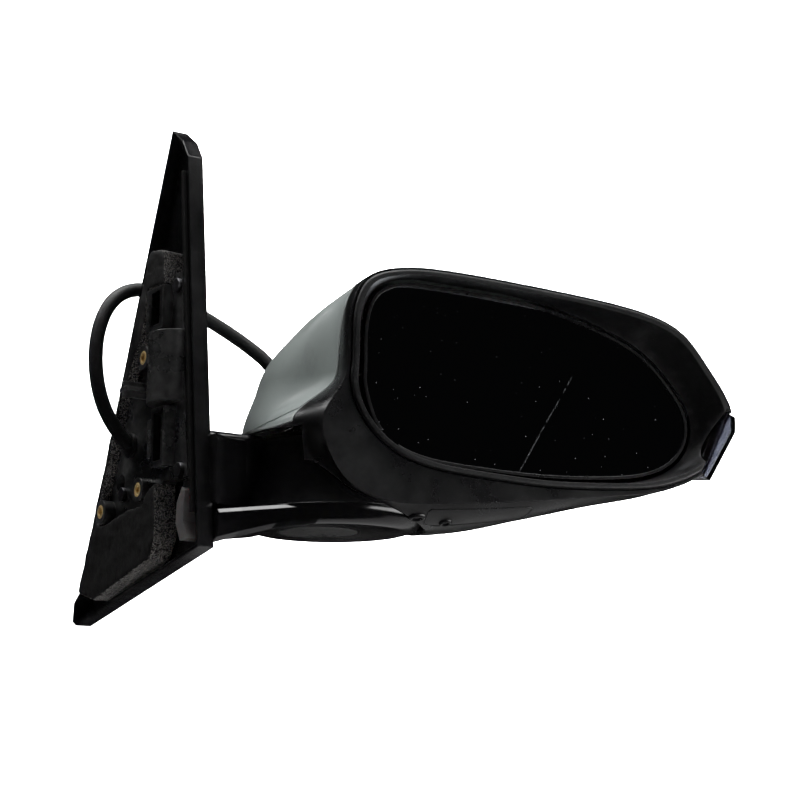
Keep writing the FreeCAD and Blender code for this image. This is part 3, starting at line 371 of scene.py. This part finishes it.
def heater_film():
    """Amber film with a printed track."""
    paint = Paint("heater_film", (0.3, 0.16, 0.04), 0.4)
    wave = paint.add("ShaderNodeTexWave")
    wave.inputs["Scale"].default_value = 60
    wave.inputs["Distortion"].default_value = 1.5
    paint.link(paint.place, wave.inputs["Vector"])
    paint.tint(paint.span(wave.outputs["Fac"], 0.55, 0.6), (0.05, 0.045, 0.04))
    paint.shine(paint.span(paint.cloud(80, 4), 0.4, 0.7), 0.55)
    return paint.material


def clear(name, tint, roughness, grain):
    """Clear moulded plastic with faint flow lines and dust."""
    paint = Paint(name, tint, roughness, Transmission_Weight=1.0, IOR=1.49)
    paint.raise_by(paint.cloud(grain, 2, 0.5), 0.00015, 0.35)
    paint.shine(paint.span(paint.cloud(60, 4), 0.5, 0.8), roughness + 0.12)
    paint.shine(paint.span(paint.cells(700), 0.08, 0.03), 0.6)
    return paint.material


def taped():
    """Cloth tape wound round wires: diagonal laps, a woven face and frayed lint."""
    paint = Paint("taped_sleeve", (0.005, 0.005, 0.0056), 0.45, Specular_IOR_Level=0.45)
    along = paint.add("ShaderNodeSeparateXYZ")
    paint.link(paint.add("ShaderNodeTexCoord").outputs["UV"], along.inputs["Vector"])
    turns = paint.math("ADD", paint.math("MULTIPLY", along.outputs["X"], 38), along.outputs["Y"])
    uneven = paint.math("ADD", turns, paint.math("MULTIPLY", paint.cloud(60, 3), 0.6))
    paint.raise_by(paint.math("FRACT", uneven, 0), 0.0006, 0.8)
    weave = paint.math("MULTIPLY", paint.cells(1500), paint.cloud(1800, 3))
    paint.raise_by(weave, 0.00035, 0.8)
    paint.tint(paint.span(paint.cloud(260, 5), 0.55, 0.75, 0, 0.4), (0.016, 0.016, 0.017))
    paint.shine(paint.span(paint.cloud(90, 4), 0.45, 0.6), 0.4)
    paint.dust(0.6)
    return paint.material


PAINTS = {
    "gloss_black_plastic": gloss_black(),
    "grained_black_plastic": grained_black(),
    "satin_black_plastic": satin_black(),
    "primer_grey": primer_grey(),
    "glass_filled_nylon": bracket_nylon(),
    "brass": brass(),
    "grey_foam": foam(),
    "black_rubber": rubber(),
    "light_grey_nylon": pale_nylon(),
    "zinc_steel": steel("zinc_steel", (0.46, 0.46, 0.44), 0.32),
    "spring_steel": steel("spring_steel", (0.16, 0.16, 0.17), 0.3),
    "die_cast": steel("die_cast", (0.36, 0.36, 0.37), 0.42),
    "white_acetal": acetal(),
    "mirror_glass": silvered_glass(),
    "heater_film": heater_film(),
    "clear_lens": clear("clear_lens", (0.13, 0.135, 0.155), 0.05, 300),
    "light_guide": clear("light_guide", (0.4, 0.41, 0.45), 0.12, 900),
    "taped_sleeve": taped(),
}

# ---------------------------------------------------------------- helpers for pieces


def piece(name, mesh, body, slot_name, smooth=True):
    """A new object from a mesh, painted with its slot's paint and riding on a body."""
    thing = bpy.data.objects.new(name, mesh)
    collection.objects.link(thing)
    mesh.materials.clear()
    mesh.materials.append(PAINTS[slot_name])
    for polygon in mesh.polygons:
        polygon.use_smooth = smooth
    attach(thing, body)
    return thing


def mesh_from(name, vertices, faces):
    """A mesh from plain vertices and faces."""
    mesh = bpy.data.meshes.new(name)
    mesh.from_pydata([tuple(v) for v in vertices], [], faces)
    mesh.validate()
    return mesh


def crisp(thing, angle=32):
    """Smooth shading that stays crisp at corners sharper than the angle."""
    for polygon in thing.data.polygons:
        polygon.use_smooth = True
    split = thing.modifiers.new("crisp", "EDGE_SPLIT")
    split.split_angle = math.radians(angle)


# ---------------------------------------------------------------- harness

HARNESS = [(4, 22.5, -41.5), (-3.4, 21.3, -35.5), (-13.5, 20, -21), (-17.5, 20.5, -1), (-16, 21, 19),
           (-7.5, 22.8, 36.2), (9, 27.2, 45.2), (33, 33.6, 43.5), (57, 38.5, 36.5), (78, 38, 27), (96, 34, 14),
           (103.5, 30.5, -6), (103, 28.6, -24), (101.5, 27.2, -40), (101.5, 27.2, -56)]
HARNESS_DIAMETER = 0.0075


def harness_curve():
    """The harness as one smooth curve through its route."""
    curve = bpy.data.curves.new("harness", "CURVE")
    curve.dimensions = "3D"
    spline = curve.splines.new("NURBS")
    spline.points.add(len(HARNESS) - 1)
    for point, (x, y, z) in zip(spline.points, HARNESS):
        point.co = (x * MM, y * MM, z * MM, 1)
    spline.order_u = 3
    spline.use_endpoint_u = True
    curve.resolution_u = 16
    curve.bevel_depth = HARNESS_DIAMETER / 2
    curve.bevel_resolution = 8
    curve.use_fill_caps = True
    curve.materials.append(PAINTS["taped_sleeve"])
    thing = bpy.data.objects.new("harness", curve)
    collection.objects.link(thing)
    return thing


harness = harness_curve()
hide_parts("wiring_harness")
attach(harness, "base")

# ---------------------------------------------------------------- small details on the surfaces


def surface_of(name):
    """A CAD node's surface, for finding points on it."""
    thing = nodes[name]
    points = [thing.matrix_world @ vertex.co for vertex in thing.data.vertices]
    return BVHTree.FromPolygons(points, [tuple(polygon.vertices) for polygon in thing.data.polygons])


def touch(surface, start, direction):
    """Where a ray meets a surface, and its outward normal there."""
    place, normal, _, _ = surface.ray_cast(start, direction)
    return place, -normal if normal.dot(direction) > 0 else normal


def seam(name, surface, path, direction, body, slot_name, radius=0.0003, closed=True):
    """A thin raised line that follows a surface below a path."""
    curve = bpy.data.curves.new(name, "CURVE")
    curve.dimensions = "3D"
    curve.bevel_depth = radius
    curve.bevel_resolution = 3
    found = []
    for i in range(len(path) if closed else len(path) - 1):
        first, second = path[i], path[(i + 1) % len(path)]
        steps = max(2, int((second - first).length / 0.0015))
        rays = [surface.ray_cast(first.lerp(second, k / steps), direction)[0] for k in range(steps)]
        found += [place for place in rays if place]
    spline = curve.splines.new("POLY")
    spline.points.add(len(found) - 1)
    for point, place in zip(spline.points, found):
        point.co = (*place, 1)
    spline.use_cyclic_u = closed
    curve.materials.append(PAINTS[slot_name])
    thing = bpy.data.objects.new(name, curve)
    collection.objects.link(thing)
    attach(thing, body)


def turned(name, place, normal, profile, body, slot_name, stretch=1.0, sides=40):
    """A turned shape from (radius, height) steps in millimetres, standing on a surface."""
    turn = Vector((0, 0, 1)).rotation_difference(normal).to_matrix()
    vertices = []
    for radius, height in profile:
        for k in range(sides):
            angle = math.tau * k / sides
            flat = Vector((stretch * radius * math.cos(angle), radius * math.sin(angle), height)) * MM
            vertices.append(place + turn @ flat)
    faces = []
    for ring in range(len(profile) - 1):
        for k in range(sides):
            low, high = ring * sides, (ring + 1) * sides
            faces.append((low + k, high + k, high + (k + 1) % sides, low + (k + 1) % sides))
    faces.append(tuple(range(sides)))
    return piece(name, mesh_from(name, vertices, faces), body, slot_name)


housing = surface_of("head_housing")
UP = Vector((0, 0, 1))
below = -120
blank = [(37, -45.5), (90, -45.2), (92, -43.5), (92, -32), (90, -30), (42, -29.5), (38, -32), (36, -43.5)]
blank_path = [at_head(u, w, below) for u, w in blank]
seam("blank_panel_line", housing, blank_path, UP, "head", "gloss_black_plastic")
SCREW_CUP = [(0.7, 0.3), (1.7, 0.2), (1.9, 1.0), (2.5, 1.15), (3.1, 0.8), (3.5, -0.2)]
for hole_name, u, w, stretch in (("oval_port", 31.8, -38.6, 1.35), ("screw_cup", 48.9, -33.5, 1.0)):
    place, normal = touch(housing, at_head(u, w, below), UP)
    turned(hole_name, place, normal, SCREW_CUP, "head", "satin_black_plastic", stretch)

# The painted cap's rolled rim, down its rear edge and forward along its lower edge
cap_surface = surface_of("skull_cap")
cap_rim = [(-32.3, 34), (-32.3, 10), (-32.3, -10), (-32.3, -32), (-24, -36.6), (-12, -39.3), (4, -40.3)]
inboard = -90
rim_path = [at_head(inboard, w, v) for w, v in cap_rim]
seam("cap_rim", cap_surface, rim_path, U_AXIS, "head", "primer_grey", 0.0005, False)

# ---------------------------------------------------------------- foam seal


def foam_piece():
    """The foam seal as a soft pad, with rounded corners and a slightly lumpy skin."""
    source = nodes["foam_seal"]
    thing = piece("foam_pad", source.data.copy(), "base", "grey_foam")
    thing.matrix_world = source.matrix_world.copy()
    grid = thing.modifiers.new("even", "REMESH")
    grid.mode = "VOXEL"
    grid.voxel_size = 0.0013
    relax = thing.modifiers.new("relax", "SMOOTH")
    relax.factor = 0.5
    relax.iterations = 4
    lumps = bpy.data.textures.new("foam_lumps", "CLOUDS")
    lumps.noise_scale = 0.009
    push = thing.modifiers.new("lumps", "DISPLACE")
    push.texture = lumps
    push.strength = 0.0014
    push.mid_level = 0.5
    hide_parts("foam_seal")


foam_piece()

# ---------------------------------------------------------------- carried-over nodes

slots = {part["node"]: part["material_slot"] for part in frame["record"]["subparts"]}
for name, thing in nodes.items():
    thing.data.materials.clear()
    thing.data.materials.append(PAINTS[slots[name]])
    crisp(thing)

# ---------------------------------------------------------------- studio


def floor():
    """A plain pale floor below the camera, curving up behind the object.

    It is left out of reflections, which would otherwise make the gloss black parts pale.
    """
    low = CAMERA_PLACE.z - 0.14
    profile = [(-3.0, 0.0), (1.4, 0.0), (1.9, 0.12), (2.2, 0.5), (2.3, 1.2), (2.3, 3.0)]
    vertices = []
    for x in (-4.0, 4.5):
        vertices += [(x, y, low + z) for y, z in profile]
    count = len(profile)
    faces = [(i, i + 1, count + i + 1, count + i) for i in range(count - 1)]
    mesh = mesh_from("floor", vertices, faces)
    thing = bpy.data.objects.new("floor", mesh)
    collection.objects.link(thing)
    material = bpy.data.materials.new("pale_floor")
    material.use_nodes = True
    shader = material.node_tree.nodes["Principled BSDF"]
    shader.inputs["Base Color"].default_value = (0.86, 0.86, 0.86, 1)
    shader.inputs["Roughness"].default_value = 0.8
    mesh.materials.append(material)
    for polygon in mesh.polygons:
        polygon.use_smooth = True
    thing.visible_glossy = False


def area_light(name, place, target, size, power, spread=180):
    """A soft light that faces a target; spread is the width of its beam in degrees."""
    light = bpy.data.lights.new(name, "AREA")
    light.shape = "RECTANGLE"
    light.size = size[0]
    light.size_y = size[1]
    light.energy = power
    light.spread = math.radians(spread)
    thing = bpy.data.objects.new(name, light)
    collection.objects.link(thing)
    thing.location = place
    thing.rotation_euler = (Vector(target) - Vector(place)).to_track_quat("-Z", "Y").to_euler()


floor()
area_light("top_light", (0.0, -0.1, 1.1), (0.1, -0.05, 0), (0.9, 0.6), 15)
area_light("left_light", (-0.55, 0.4, 0.95), (0.1, -0.05, 0), (0.35, 0.4), 5.5)
area_light("low_light", (0.75, -0.75, -0.28), (0.12, -0.06, -0.05), (1.0, 0.35), 7)
area_light("front_light", (0.7, -0.85, 1.15), (0.18, -0.1, 0), (0.6, 0.4), 8)
area_light("ground_glow", (0.36, 0.1, -0.33), (0.2, -0.03, -0.05), (0.5, 0.35), 0.2)
area_light("backdrop_light", (1.7, 0.8, 2.3), (1.95, 2.3, 0.35), (2.6, 0.6), 150, 90)
area_light("backdrop_side", (3.0, 0.6, 1.0), (2.6, 2.3, 0.4), (0.8, 1.2), 60, 90)

world = bpy.data.worlds.new("studio")
bpy.context.scene.world = world
world.use_nodes = True
world.node_tree.nodes["Background"].inputs["Color"].default_value = (0.95, 0.97, 1, 1)
world.node_tree.nodes["Background"].inputs["Strength"].default_value = 0.002
bpy.context.scene.view_settings.view_transform = "Standard"
